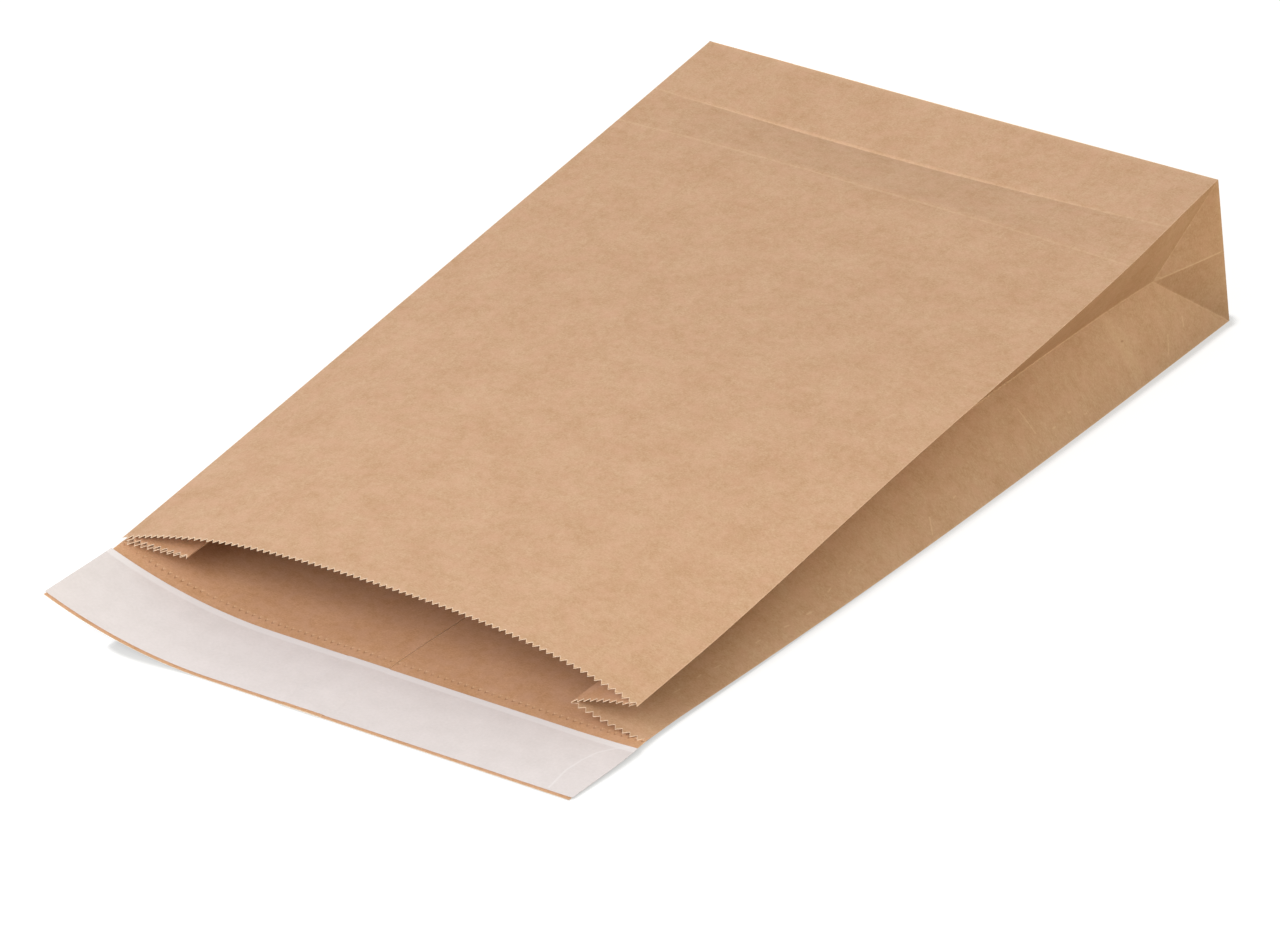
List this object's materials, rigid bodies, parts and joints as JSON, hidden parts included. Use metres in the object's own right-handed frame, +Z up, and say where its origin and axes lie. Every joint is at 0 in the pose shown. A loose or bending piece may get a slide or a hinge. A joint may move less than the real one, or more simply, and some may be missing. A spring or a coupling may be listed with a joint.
{
  "type": "gusseted paper sample bag",
  "caption": "Kraft paper sample bag with side gussets, a block bottom, a saw-cut mouth standing open and a closing flap with a white release liner.",
  "frame": {"origin": "middle of the bag's box, on the floor that its back panel lies on", "axes": "+Y from the open mouth to the block bottom, +X to the right seen from the mouth, +Z up from the back panel to the front panel"},
  "size_m": [0.2522, 0.4342, 0.065],
  "materials": {
    "kraft_paper": "uncoated, slightly mottled brown kraft",
    "adhesive": "tacky clear hot-melt film",
    "liner_paper": "smooth siliconised white paper"
  },
  "bodies": {
    "root": {"paper_bag": "kraft_paper", "adhesive_strip": "adhesive", "release_liner": "liner_paper"}
  },
  "joints": []
}
